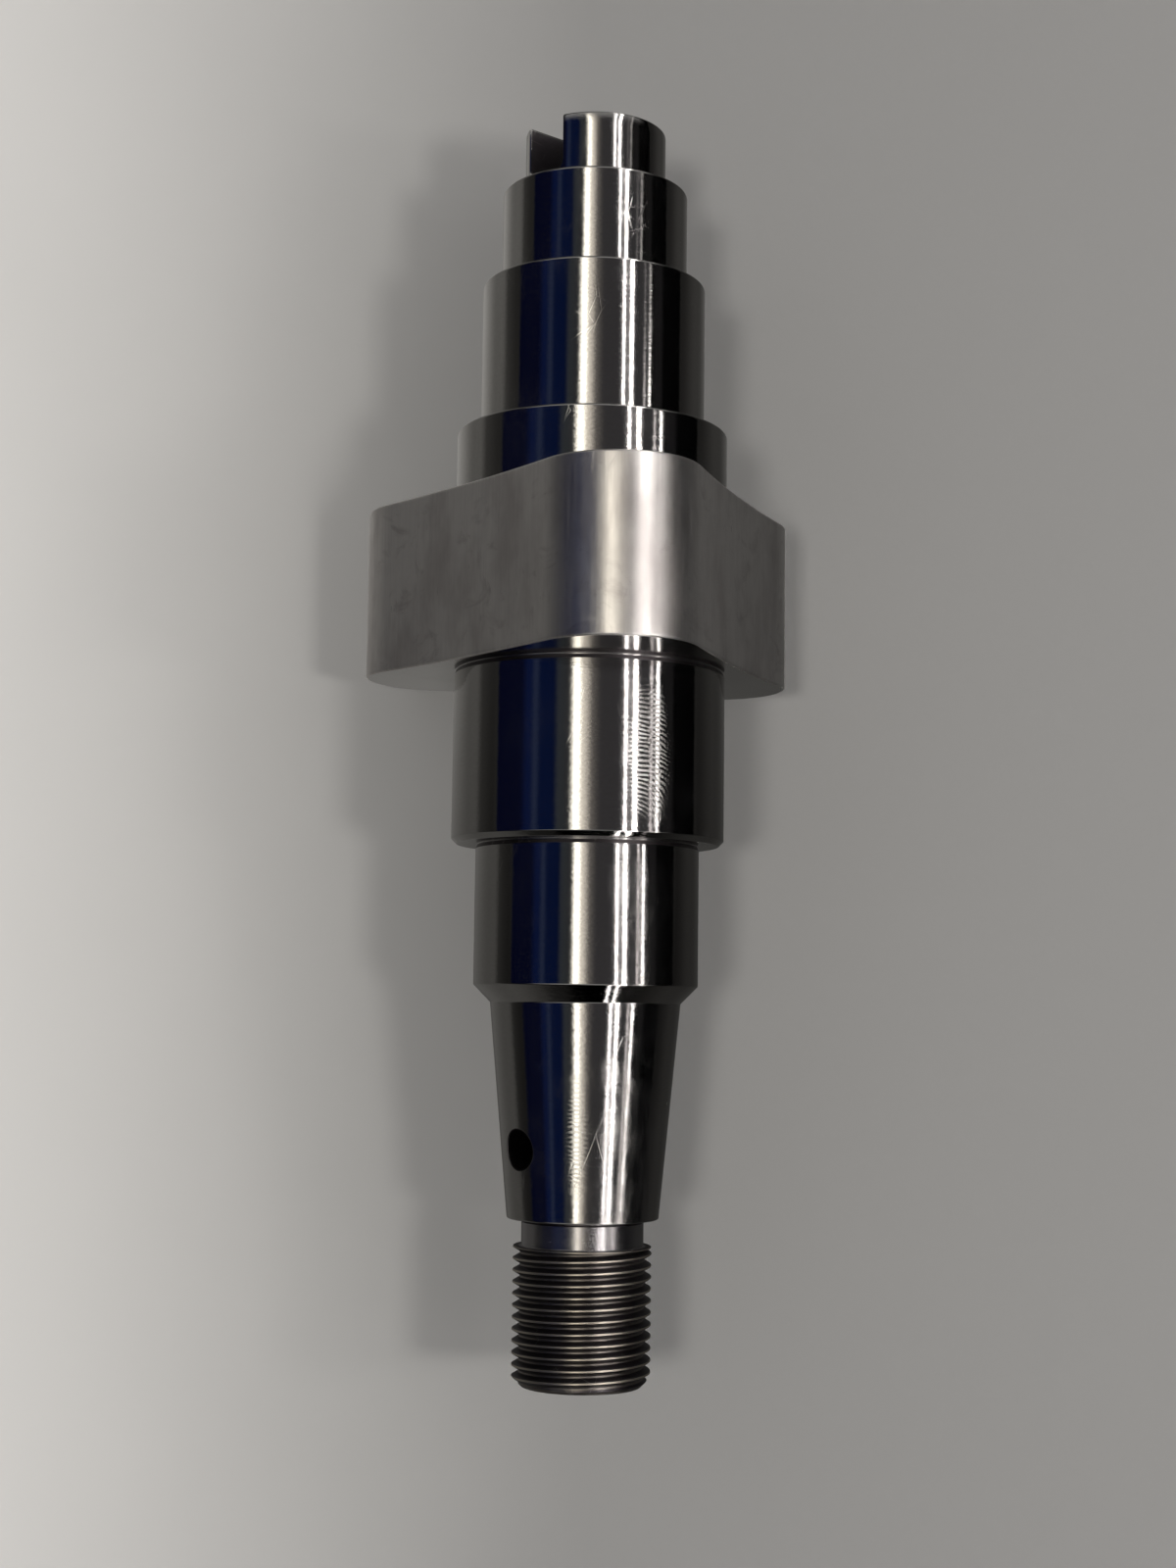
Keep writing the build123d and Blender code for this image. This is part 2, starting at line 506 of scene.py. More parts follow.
def slot_profile():
    """Half of the slot's section, from its middle outwards: (distance, height above the floor)."""
    half = SLOT_W / 2
    flat = half - SLOT_FILLET
    profile = [(flat * k / FLOOR_STEPS, 0.0) for k in range(FLOOR_STEPS + 1)]
    for step in range(1, FILLET_STEPS + 1):
        a = math.radians(90 * step / FILLET_STEPS)
        profile.append((flat + SLOT_FILLET * math.sin(a), SLOT_FILLET * (1 - math.cos(a))))
    return profile


def drive_end(bm, base_y):
    """Drive end with its slot, open at base_y. Returns its ring of vertices there."""
    half = slot_profile()
    section = [(-s, h) for s, h in reversed(half[1:])] + half
    wall = SLOT_W / 2
    wall_heights = [SLOT_FILLET + (SLOT_DEPTH - SLOT_FILLET) * k / WALL_STEPS
                    for k in range(1, WALL_STEPS + 1)]
    ahead, aside = out_and_side(SLOT_TURN)

    def reach(across):
        return math.sqrt(DRIVE_R ** 2 - across ** 2)

    def vert(across, along_slot, y):
        return bm.verts.new((aside * across + ahead * along_slot + Vector((0, y, 0))) * MM)

    base = []
    # The slot's floor and the outer wall under each of its two mouths
    mouth = {}
    for end in (-1, 1):
        mouth[end] = [(vert(s, end * reach(s), base_y), vert(s, end * reach(s), SLOT_FLOOR + h))
                      for s, h in section]
        for (low_a, top_a), (low_b, top_b) in zip(mouth[end], mouth[end][1:]):
            add_face(bm, (low_a, low_b, top_b, top_a), "ground journal")
    # The slot's floor is dark, painted shade
    for k in range(len(section) - 1):
        add_face(bm, (mouth[-1][k][1], mouth[-1][k + 1][1], mouth[1][k + 1][1], mouth[1][k][1]),
                 "shade-painted recess")
    # Each prong: outer wall, slot wall and top
    for side, index in ((-1, 0), (1, -1)):
        corner_turn = math.acos(wall / DRIVE_R)
        turns = [-corner_turn + 2 * corner_turn * k / PRONG_STEPS for k in range(PRONG_STEPS + 1)]
        columns = []
        for k, turn in enumerate(turns):
            across, along_slot = side * DRIVE_R * math.cos(turn), DRIVE_R * math.sin(turn)
            if k == 0:
                column = list(mouth[-1][index])
            elif k == PRONG_STEPS:
                column = list(mouth[1][index])
            else:
                column = [vert(across, along_slot, base_y),
                          vert(across, along_slot, SLOT_FLOOR + SLOT_FILLET)]
            column += [vert(across, along_slot, SLOT_FLOOR + h) for h in wall_heights]
            columns.append(column)
        for here, beside in zip(columns, columns[1:]):
            for j in range(len(here) - 1):
                add_face(bm, (here[j], beside[j], beside[j + 1], here[j + 1]), "ground journal")
        # The slot's walls are dark, painted shade
        for j in range(1, len(columns[0]) - 1):
            add_face(bm, (columns[0][j], columns[-1][j], columns[-1][j + 1], columns[0][j + 1]),
                     "shade-painted recess")
        add_face(bm, [column[-1] for column in columns], "turned shoulder")
        base += [column[0] for column in (columns[1:-1] if side < 0 else reversed(columns[1:-1]))]
        base += [pair[0] for pair in (mouth[1] if side < 0 else reversed(mouth[-1]))]
    return base


def round_drive_edges(bm):
    """Rounds the sharp edges of the drive end above its foot."""
    sharp = []
    for edge in bm.edges:
        above = min(v.co.y for v in edge.verts) > (STEP_END + FOOT_BAND) * MM
        if above and edge.is_manifold and edge.calc_face_angle() > math.radians(SHARP_BEND):
            sharp.append(edge)
    bmesh.ops.bevel(bm, geom=sharp, offset=EDGE_ROUNDING * MM, offset_type="OFFSET",
                    segments=DRIVE_ROUNDING_STEPS, profile=0.5, affect="EDGES",
                    clamp_overlap=True, miter_outer="SHARP", harden_normals=False)


# ---------------------------------------------------------------- the whole shaft
# Roundings of a relief's two edges and of the bend at the foot of its ramp
RELIEF_ROUNDING = 0.08
RAMP_ROUNDING = 0.1

# Where plain rings lie: on a shoulder, outside the corner at its foot, and near the taper's ends
ABOVE_FOOT = 0.3
ABOVE_COLLAR = 0.4
ABOVE_DRIVE = 1.2
TAPER_FIRST_ROW = 1.5
TAPER_LAST_ROW = 0.6
# Edges that bend less than this, in degrees, are shaded smooth
SMOOTH_BEND = 32.0


def relief(shoulder, side, journal_r):
    """Corners of the narrow ground relief between a shoulder and the journal on its given side."""
    foot_r = journal_r - RELIEF_DEPTH
    places = [
        (shoulder + side * RELIEF_W, journal_r, RELIEF_ROUNDING),
        (shoulder + side * (RELIEF_W - 2 * RELIEF_DEPTH), foot_r, RAMP_ROUNDING),
        (shoulder, foot_r, RELIEF_ROUNDING),
    ]
    beyond = "turned shoulder"
    if side > 0:
        places.reverse()
        beyond = "ground journal"
    # The relief's ramp and foot are dark, painted shade in the corner
    return [(*place, run) for place, run in zip(places, ("shade-painted recess", "shade-painted recess", beyond))]


def shaft():
    bm = bmesh.new()
    tip_r = THREAD_R - THREAD_CHAMFER
    centre_floor = THREAD_START + CENTRE_CONE_LEN + CENTRE_PILOT_LEN
    tip = add_ring(bm, THREAD_START, tip_r)
    # The centre hole is black inside, painted shade
    inwards = lathe(bm, (
        (THREAD_START, tip_r - SUPPORT, "turned shoulder"),
        (THREAD_START, CENTRE_MOUTH_R, "shade-painted hole"),
        (THREAD_START + CENTRE_CONE_LEN, CENTRE_PILOT_R, "shade-painted hole"),
        (centre_floor, CENTRE_PILOT_R, "shade-painted hole"),
    ), tip)
    cap(bm, inwards, centre_floor, "shade-painted hole")

    ring = thread(bm, tip)
    burr_r = THREAD_R - BURR_DEPTH
    ring = lathe(bm, (
        (THREAD_TOP, burr_r, "cut thread"),
        (THREAD_END - BURR_W / 4, burr_r, "cut thread"),
        (THREAD_END, burr_r - BURR_W / 2, "cut thread"),
        (THREAD_END, RUNOUT_R + ABOVE_FOOT, "turned groove"),
    ), ring)
    taper_low, taper_high = TAPER_START + TAPER_FIRST_ROW, CONE_START - TAPER_LAST_ROW
    cut_r = RUNOUT_R - CORNER_DEPTH
    ring = lathe_corners(bm, (
        (THREAD_END, RUNOUT_R + ABOVE_FOOT, 0, "turned groove"),
        (THREAD_END, RUNOUT_R, GROOVE_ROUNDING, "turned groove"),
        # The corner cut is dark, painted shade in the corner
        (TAPER_START - CORNER_W, RUNOUT_R, CORNER_ROUNDING, "shade-painted recess"),
        (TAPER_START - CORNER_W + CORNER_RAMP, cut_r, CORNER_ROUNDING, "shade-painted recess"),
        (TAPER_START, cut_r, CORNER_ROUNDING, "turned groove"),
        (TAPER_START, TAPER_SMALL_R, GROOVE_ROUNDING, "ground taper"),
        (taper_low, taper_r(taper_low), 0, "ground taper"),
    ), ring)
    ring = taper_with_hole(bm, ring, taper_high)
    ring = lathe_corners(bm, (
        (taper_high, taper_r(taper_high), 0, "ground taper"),
        (CONE_START, TAPER_BIG_R, CONE_ROUNDING, "ground journal"),
        (FRONT_START, FRONT_JOURNAL_R, EDGE_ROUNDING, "ground journal"),
        *relief(MAIN_START, -1, FRONT_JOURNAL_R),
        (MAIN_START, MAIN_JOURNAL_R - JOURNAL_CHAMFER, FOOT_ROUNDING, "ground journal"),
        (MAIN_START + JOURNAL_CHAMFER, MAIN_JOURNAL_R, FOOT_ROUNDING, "ground journal"),
        *relief(CAM_START, -1, MAIN_JOURNAL_R),
        (CAM_START, MAIN_JOURNAL_R + ABOVE_FOOT, 0, "turned shoulder"),
    ), ring)
    ring = cam(bm, ring, COLLAR_R + ABOVE_COLLAR)
    ring = lathe_corners(bm, (
        (CAM_END, COLLAR_R + ABOVE_COLLAR, 0, "turned shoulder"),
        (CAM_END, COLLAR_R, FOOT_ROUNDING, "ground journal"),
        (COLLAR_END, COLLAR_R, EDGE_ROUNDING, "turned shoulder"),
        *relief(COLLAR_END, 1, REAR_JOURNAL_R),
        (REAR_END, REAR_JOURNAL_R, EDGE_ROUNDING, "turned shoulder"),
        (REAR_END, STEP_R, FOOT_ROUNDING, "ground journal"),
        (STEP_END, STEP_R, EDGE_ROUNDING, "turned shoulder"),
        (STEP_END, DRIVE_R + ABOVE_DRIVE, 0, "turned shoulder"),
    ), ring)
    edges = []
    for loop in (ring, drive_end(bm, STEP_END)):
        edges += [bm.edges.get((loop[i - 1], loop[i])) for i in range(len(loop))]
    made = bmesh.ops.bridge_loops(bm, edges=[edge for edge in edges if edge])
    for face in made["faces"]:
        face.material_index = FINISH_INDEX["turned shoulder"]
        face.smooth = True
    bmesh.ops.delete(bm, geom=[v for v in bm.verts if not v.link_faces], context="VERTS")
    bmesh.ops.recalc_face_normals(bm, faces=bm.faces)
    round_drive_edges(bm)
    mesh = bpy.data.meshes.new("stepped_shaft_finished")
    bm.to_mesh(mesh)
    bm.free()
    mesh.set_sharp_from_angle(angle=math.radians(SMOOTH_BEND))
    return placed_object("stepped_shaft_finished", mesh)


# ---------------------------------------------------------------- node helpers
def link(tree, source, target):
    tree.links.new(source, target)


def node(tree, kind, **settings):
    made = tree.nodes.new(kind)
    for name, value in settings.items():
        setattr(made, name, value)
    return made


def feed(tree, socket, value):
    """Sets a socket to a plain value, or links another node's output to it."""
    if isinstance(value, bpy.types.NodeSocket):
        link(tree, value, socket)
    else:
        socket.default_value = value


def maths(tree, operation, *values, clamp=False):
    made = node(tree, "ShaderNodeMath", operation=operation, use_clamp=clamp)
    for socket, value in zip(made.inputs, values):
        feed(tree, socket, value)
    return made.outputs[0]


def vector_maths(tree, operation, *values):
    made = node(tree, "ShaderNodeVectorMath", operation=operation)
    for socket, value in zip(made.inputs, values):
        feed(tree, socket, value)
    return made.outputs[0]


def remap(tree, value, low_in, high_in, low_out=0.0, high_out=1.0):
    made = node(tree, "ShaderNodeMapRange", interpolation_type="SMOOTHSTEP")
    for socket, given in zip(made.inputs, (value, low_in, high_in, low_out, high_out)):
        feed(tree, socket, given)
    return made.outputs[0]


def mix_colour(tree, share, a, b):
    made = node(tree, "ShaderNodeMix", data_type="RGBA")
    feed(tree, made.inputs["Factor"], share)
    feed(tree, made.inputs[6], a)
    feed(tree, made.inputs[7], b)
    return made.outputs[2]


def scaled(tree, vector, strength):
    """A colour or vector times a strength."""
    made = vector_maths(tree, "SCALE", vector)
    feed(tree, made.node.inputs["Scale"], strength)
    return made


def noise(tree, vector, scale, detail=2.0, roughness=0.5, distortion=0.0):
    made = node(tree, "ShaderNodeTexNoise")
    values = {"Vector": vector, "Scale": scale, "Detail": detail, "Roughness": roughness,
              "Distortion": distortion}
    for label, value in values.items():
        feed(tree, made.inputs[label], value)
    return made.outputs["Fac"]


def object_place(tree):
    """Place on the object, in metres."""
    return node(tree, "ShaderNodeTexCoord").outputs["Object"]


def separate(tree, vector):
    apart = node(tree, "ShaderNodeSeparateXYZ")
    link(tree, vector, apart.inputs[0])
    return apart.outputs


def new_material(name):
    """A material, its nodes and its Principled surface."""
    made = bpy.data.materials.new(name)
    made.use_nodes = True
    return made, made.node_tree, made.node_tree.nodes["Principled BSDF"]


FLOAT, VECTOR = "NodeSocketFloat", "NodeSocketVector"


def new_group(name, inputs, output):
    """A shader node group with inputs of (label, kind, default) and one number as its output."""
    tree = bpy.data.node_groups.new(name, "ShaderNodeTree")
    for label, kind, default in inputs:
        socket = tree.interface.new_socket(label, in_out="INPUT", socket_type=kind)
        socket.default_value = default
    tree.interface.new_socket(output, in_out="OUTPUT", socket_type=FLOAT)
    return tree, node(tree, "NodeGroupInput"), node(tree, "NodeGroupOutput")


def give(tree, value, given, out):
    """Ends a group: its one output is the value times the Amount that it was given."""
    link(tree, maths(tree, "MULTIPLY", value, given.outputs["Amount"]), out.inputs[0])


# ---------------------------------------------------------------- node groups for the finishes
# Ridges of a finger mark: their spacing, how wavy they are, and how far their middle is from the
# mark's. A wave texture has 20 radians to each unit of its scale.
RIDGE_SPACING = 0.56
RIDGE_SCALE = 2 * math.pi / (20 * RIDGE_SPACING * MM)
RIDGE_WAVES = {"Distortion": 9.0, "Detail": 1.0, "Detail Scale": 0.4}
RIDGE_OFF_CENTRE = (0.55, 0.85, 0.0)
# Greasy marks: turn, radius, place along the axis, half size across, along and through, amount
FINGER_MARK = (17.0, MAIN_JOURNAL_R, -1.0, (3.8, 10.5, 3.0), 0.2)
TAPER_MARK = (-13.0, taper_r(-49.0), -49.0, (2.0, 9.5, 1.5), 0.14)


def grain_group():
    """Fine cut or ground lines: noise stretched along the way that the tool went."""
    tree, given, out = new_group(
        "tool_lines", [("Fineness", VECTOR, (1.0, 1.0, 1.0)), ("Contrast", FLOAT, 1.0)], "Lines")
    place = object_place(tree)
    stretched = vector_maths(tree, "MULTIPLY", place, given.outputs["Fineness"])
    fine = noise(tree, stretched, 1.0, detail=3.0, roughness=0.6)
    centred = maths(tree, "SUBTRACT", fine, 0.5)
    stronger = maths(tree, "MULTIPLY", centred, given.outputs["Contrast"])
    link(tree, maths(tree, "ADD", stronger, 0.5), out.inputs["Lines"])
    return tree


def smudge_group():
    """Thin uneven film of oil and finger marks."""
    tree, given, out = new_group(
        "oily_film", [("Patch size", FLOAT, 60.0), ("Amount", FLOAT, 0.5)], "Film")
    place = object_place(tree)
    broad = noise(tree, place, given.outputs["Patch size"], detail=4.0, roughness=0.6,
                  distortion=0.6)
    streaks = noise(tree, vector_maths(tree, "MULTIPLY", place, (1400.0, 350.0, 1400.0)), 1.0, 3.0)
    patches = remap(tree, broad, 0.45, 0.7)
    broken = remap(tree, streaks, 0.35, 0.65, 0.4, 1.0)
    film = maths(tree, "MULTIPLY", patches, broken)
    give(tree, film, given, out)
    return tree


# Scratches: turn in radians, and how far the cells are drawn out along each axis
SCRATCH_WAYS = ((0.35, (1.0, 0.09, 1.0)), (-0.9, (1.0, 0.12, 1.0)))


def scratch_group():
    """Sparse hairline scratches that run two ways, along the edges of drawn-out cells."""
    tree, given, out = new_group(
        "hairline_scratches", [("Spacing", FLOAT, 260.0), ("Amount", FLOAT, 1.0)], "Scratches")
    place = object_place(tree)
    found = None
    for turn, stretch in SCRATCH_WAYS:
        turned = node(tree, "ShaderNodeVectorRotate", rotation_type="EULER_XYZ")
        feed(tree, turned.inputs["Vector"], place)
        turned.inputs["Rotation"].default_value = (turn, 0.4 * turn, turn)
        spread = vector_maths(tree, "MULTIPLY", turned.outputs[0], stretch)
        cells = node(tree, "ShaderNodeTexVoronoi", feature="DISTANCE_TO_EDGE")
        feed(tree, cells.inputs["Vector"], spread)
        feed(tree, cells.inputs["Scale"], given.outputs["Spacing"])
        thin = remap(tree, cells.outputs["Distance"], 0.012, 0.0)
        gaps = remap(tree, noise(tree, place, 130.0, 2.0), 0.55, 0.7)
        line = maths(tree, "MULTIPLY", thin, gaps)
        found = line if found is None else maths(tree, "MAXIMUM", found, line)
    give(tree, found, given, out)
    return tree


def edge_group():
    """Bright burnished line on worn outer edges."""
    tree, given, out = new_group("edge_wear", [("Reach", FLOAT, 0.53)], "Wear")
    pointed = node(tree, "ShaderNodeNewGeometry").outputs["Pointiness"]
    place = object_place(tree)
    raised = maths(tree, "SUBTRACT", pointed, given.outputs["Reach"])
    worn = remap(tree, raised, 0.0, 0.06)
    uneven = remap(tree, noise(tree, place, 500.0, 3.0), 0.3, 0.6, 0.4, 1.0)
    link(tree, maths(tree, "MULTIPLY", worn, uneven), out.inputs["Wear"])
    return tree


def stain_group():
    """Soft brownish stains, drawn out along the axis."""
    tree, given, out = new_group("axial_stains", [("Amount", FLOAT, 0.5)], "Stains")
    place = object_place(tree)
    drawn = noise(tree, vector_maths(tree, "MULTIPLY", place, (150.0, 60.0, 150.0)), 1.0, 4.0, 0.6)
    spots = noise(tree, place, 170.0, 5.0, 0.65, 1.2)
    both = maths(tree, "MAXIMUM", remap(tree, drawn, 0.4, 0.72), remap(tree, spots, 0.5, 0.72))
    give(tree, both, given, out)
    return tree


def mark_group():
    """One greasy mark: wavy ridges inside a soft oval around a place."""
    tree, given, out = new_group(
        "greasy_mark",
        [("Place", VECTOR, (0.0, 0.0, 0.0)), ("Turn", VECTOR, (0.0, 0.0, 0.0)),
         ("Half size", VECTOR, (1.0, 1.0, 1.0)), ("Amount", FLOAT, 0.1)],
        "Mark")
    place = object_place(tree)
    local = node(tree, "ShaderNodeMapping", vector_type="TEXTURE")
    feed(tree, local.inputs["Vector"], place)
    for label, source in (("Location", "Place"), ("Rotation", "Turn"), ("Scale", "Half size")):
        feed(tree, local.inputs[label], given.outputs[source])
    reach = vector_maths(tree, "LENGTH", local.outputs[0]).node.outputs["Value"]
    uneven = maths(tree, "ADD", reach, maths(tree, "MULTIPLY", noise(tree, place, 400.0, 3.0), 0.5))
    inside = remap(tree, uneven, 1.25, 0.7)
    off_centre = vector_maths(tree, "ADD", local.outputs[0], RIDGE_OFF_CENTRE)
    ridge_place = vector_maths(tree, "MULTIPLY", off_centre, given.outputs["Half size"])
    waves = node(tree, "ShaderNodeTexWave", wave_type="RINGS", rings_direction="Z")
    feed(tree, waves.inputs["Vector"], ridge_place)
    for label, value in {"Scale": RIDGE_SCALE, **RIDGE_WAVES}.items():
        waves.inputs[label].default_value = value
    ridges = remap(tree, waves.outputs["Fac"], 0.35, 0.65)
    give(tree, maths(tree, "MULTIPLY", ridges, inside), given, out)
    return tree


GROUPS = {"lines": grain_group(), "film": smudge_group(), "scratches": scratch_group(),
          "wear": edge_group(), "stains": stain_group(), "mark": mark_group()}


def placed_group(tree, name, **values):
    """Places a shared group with its own values, and returns its one output."""
    made = node(tree, "ShaderNodeGroup", node_tree=GROUPS[name])
    for label, value in values.items():
        feed(tree, made.inputs[label.replace("_", " ")], value)
    return made.outputs[0]


# ---------------------------------------------------------------- steel finishes
STEEL = (0.57, 0.56, 0.545, 1.0)
OILED_STEEL = (0.40, 0.385, 0.36, 1.0)
BRIGHT_STEEL = (0.72, 0.71, 0.69, 1.0)
# Crest colour of the thread: burnished wear and a painted highlight
CREST_WEAR_AND_HIGHLIGHT_STEEL = (0.62, 0.565, 0.48, 1.0)
GROOVE_STEEL = (0.44, 0.425, 0.44, 1.0)
GREY_STEEL = (0.47, 0.455, 0.44, 1.0)
SATIN_STEEL = (0.98, 0.945, 0.91, 1.0)
DULL_SATIN_STEEL = (0.72, 0.69, 0.665, 1.0)
STAINED_STEEL = (0.54, 0.495, 0.48, 1.0)
# Dark and black steel: painted shade, in the thread's grooves, the recesses and the holes
DARK_STEEL = (0.115, 0.104, 0.112, 1.0)
BLACK_STEEL = (0.03, 0.028, 0.028, 1.0)

# What the tool lines, the film of oil and the hairline scratches do to a finish
LINE_TINT = 0.5
OIL_TINT = 0.5
OIL_ROUGHNESS = 0.17
SCRATCH_BRIGHTNESS = 0.5
SCRATCH_ROUGHNESS = 0.2
SCRATCH_DEPTH = 1.5


def steel(name, colour, second_colour, roughness, lines, line_depth, line_contrast=1.0,
          film=0.4, rough_spread=0.08, scratches=0.6, stains=0.0, worn=True):
    """One steel finish. lines is how fine its tool lines are along each axis, per metre."""
    made, tree, surface = new_material(name)
    surface.inputs["Metallic"].default_value = 1.0
    tool = placed_group(tree, "lines", Fineness=lines, Contrast=line_contrast)
    oil = placed_group(tree, "film", Amount=film)
    hairs = placed_group(tree, "scratches", Amount=scratches)
    tinted = mix_colour(tree, maths(tree, "MULTIPLY", tool, LINE_TINT), colour, second_colour)
    if stains:
        stained = placed_group(tree, "stains", Amount=stains)
        tinted = mix_colour(tree, stained, tinted, STAINED_STEEL)
    oiled = mix_colour(tree, maths(tree, "MULTIPLY", oil, OIL_TINT), tinted, OILED_STEEL)
    bright = maths(tree, "MULTIPLY", hairs, SCRATCH_BRIGHTNESS)
    if worn:
        bright = maths(tree, "MAXIMUM", placed_group(tree, "wear"), bright)
    link(tree, mix_colour(tree, bright, oiled, BRIGHT_STEEL), surface.inputs["Base Color"])
    spread = maths(tree, "MULTIPLY", maths(tree, "SUBTRACT", tool, 0.5), rough_spread)
    rough = maths(tree, "ADD", maths(tree, "ADD", spread, roughness),
                  maths(tree, "MULTIPLY", oil, OIL_ROUGHNESS))
    rough = maths(tree, "ADD", rough, maths(tree, "MULTIPLY", hairs, SCRATCH_ROUGHNESS),
                  clamp=True)
    link(tree, rough, surface.inputs["Roughness"])
    bump = node(tree, "ShaderNodeBump")
    bump.inputs["Strength"].default_value = 1.0
    bump.inputs["Distance"].default_value = line_depth
    height = maths(tree, "SUBTRACT", tool, maths(tree, "MULTIPLY", hairs, SCRATCH_DEPTH))
    link(tree, height, bump.inputs["Height"])
    link(tree, bump.outputs["Normal"], surface.inputs["Normal"])
    return made


def add_mark(made, mark):
    """Lays a greasy mark over a finish."""
    turn, r, y, half_size, amount = mark
    tree = made.node_tree
    rough = tree.nodes["Principled BSDF"].inputs["Roughness"]
    greasy = placed_group(tree, "mark", Place=on_axis(turn, r, y), Amount=amount,
                          Turn=(0.0, math.radians(turn), 0.0), Half_size=Vector(half_size) * MM)
    link(tree, maths(tree, "ADD", rough.links[0].from_socket, greasy), rough)
    return made


# Where the thread starts to be bright and where it is brightest: at its crests, as burnished wear
# and a painted highlight, and in its roots, as a painted highlight line
CREST_DEPTHS = (0.09, 0.01)
ROOT_HEIGHTS = (0.08, 0.02)
PAINTED_ROOT_HIGHLIGHT = 0.3


def burnish_and_highlight_thread(made):
    """Brightens the crests of the thread, as burnished wear and a painted highlight, and its roots
    a little, as a painted highlight.
    """
    tree = made.node_tree
    colour = tree.nodes["Principled BSDF"].inputs["Base Color"]
    place = object_place(tree)
    across = vector_maths(tree, "MULTIPLY", place, (1.0, 0.0, 1.0))
    r = vector_maths(tree, "LENGTH", across).node.outputs["Value"]
    crest = remap(tree, r, *[(THREAD_R - depth) * MM for depth in CREST_DEPTHS])
    root = remap(tree, r, *[(THREAD_R - THREAD_DEPTH + height) * MM for height in ROOT_HEIGHTS],
                 0.0, PAINTED_ROOT_HIGHLIGHT)
    shown = maths(tree, "MAXIMUM", crest, root)
    link(tree, mix_colour(tree, shown, colour.links[0].from_socket, CREST_WEAR_AND_HIGHLIGHT_STEEL), colour)
    return made


def finishes():
    """The finishes in the order of FINISHES."""
    round_lines = (1300.0, 3600.0, 1300.0)
    even_lines = (9000.0, 9000.0, 9000.0)
    journal = steel("ground_journal_steel", STEEL, GREY_STEEL, 0.055, round_lines, 4.5e-6,
                    film=0.5, line_contrast=2.0, rough_spread=0.05, scratches=0.4)
    taper = steel("ground_taper_steel", STEEL, GREY_STEEL, 0.065, round_lines, 7e-6, film=0.9,
                  line_contrast=2.0, rough_spread=0.06, scratches=0.5)
    # Thread steel near black as painted shade in its grooves, with painted highlights on its crests
    # and roots
    thread_steel = steel("cut_thread_painted_shade_steel", DARK_STEEL, BLACK_STEEL, 0.34, (300.0, 9000.0, 300.0),
                         1e-6, film=0.3, worn=False)
    return [
        add_mark(journal, FINGER_MARK),
        add_mark(taper, TAPER_MARK),
        steel("turned_shoulder_steel", STEEL, GREY_STEEL, 0.12, even_lines, 1e-7),
        steel("turned_groove_steel", GROOVE_STEEL, GREY_STEEL, 0.2, (30.0, 2600.0, 30.0), 4e-6,
              line_contrast=2.0),
        steel("brushed_cam_steel", SATIN_STEEL, DULL_SATIN_STEEL, 0.33, (2600.0, 90.0, 2600.0),
              3e-6, line_contrast=1.8, rough_spread=0.14, stains=0.6),
        burnish_and_highlight_thread(thread_steel),
        # Near-black steel: painted shade in the recesses
        steel("shade_painted_recess_steel", DARK_STEEL, BLACK_STEEL, 0.3, (2500.0, 9000.0, 2500.0), 1e-6,
              worn=False),
        # Black steel: painted shade inside the holes
        steel("shade_painted_hole_steel", BLACK_STEEL, BLACK_STEEL, 0.4, (3000.0, 3000.0, 3000.0), 1e-6,
              worn=False),
    ]


# ---------------------------------------------------------------- bench, light and camera
# Painted light falloff: the bench's colour at its lit left and at its shaded right
BENCH_LIT_LEFT = (0.72, 0.706, 0.68, 1.0)
BENCH_SHADED_RIGHT = (0.262, 0.258, 0.25, 1.0)
# Colour of the painted reflection of the bench, which glows to glossy rays only
PAINTED_BENCH_REFLECTION = (0.2, 0.195, 0.185, 1.0)
PALE_BACKGROUND = (0.62, 0.61, 0.59, 1.0)
BENCH_HALF_SIZE = 3.0
BENCH_ROUGHNESS = 0.42
BENCH_UNEVENNESS = 0.1

# Ramps: where each starts and ends, and its values there if they aren't 0 and 1.
# The bench's painted light falloff, from its lit left to its shaded right
PAINTED_FALLOFF_LEFT_TO_RIGHT = (-0.11, 0.02)
# Painted reflection of the bench: how bright it glows to glossy rays, so that steel shows it, by
# the angle at which it is mirrored, and what is added where that is steep, which depends on the
# place along the shaft as painted shade towards the thread's end
MIRRORED_AT_ANGLE = (0.05, 0.5, 0.15, 0.42)
MIRRORED_STEEPLY = (0.6, 1.0, 0.0, 0.6)
STEEP_ALONG_SHAFT = (-0.03, 0.05, 0.3, 1.0)
# What that is multiplied by: painted shadow right of the shaft, painted shade along it towards the
# thread's end, dimmer far to the left, and painted shadow under it
PAINTED_SHADOW_RIGHT_OF_SHAFT = (-0.005, 0.01, 1.0, 0.36)
MIRRORED_ALONG_SHAFT = (-0.03, 0.09, 0.9, 1.6)
MIRRORED_FAR_LEFT = (-0.10, -0.07, 0.5, 1.1)
PAINTED_SHADOW_UNDER_SHAFT = (0.008, 0.02, 0.4, 1.0)


